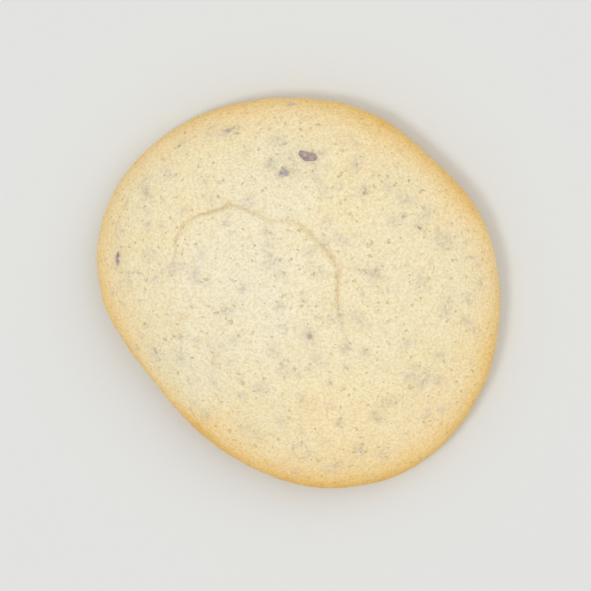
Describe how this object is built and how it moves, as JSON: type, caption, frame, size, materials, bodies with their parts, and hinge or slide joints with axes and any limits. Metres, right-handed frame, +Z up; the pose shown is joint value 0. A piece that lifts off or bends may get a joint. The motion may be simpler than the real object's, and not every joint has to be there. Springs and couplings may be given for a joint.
{
  "type": "walnut drop cookie",
  "caption": "Pale round drop cookie with a broad low dome, a rounded golden rim, shallow creases, a flat base and chopped walnut in its skin",
  "frame": {"origin": "on the flat base, at the middle of the cookie's width and depth", "axes": "+Z up through the dome, which is the cookie's shortest extent; seen from above, +X is to the right and +Y is away, as in the picture"},
  "size_m": [0.0474, 0.046, 0.0132],
  "materials": {
    "baked_dough": "dry matt baked crust, pale cream on top, golden at the rim and tan underneath",
    "walnut": "dull grey-brown chopped nut, baked into the crust"
  },
  "bodies": {
    "root": {"cookie": "baked_dough"}
  },
  "joints": []
}
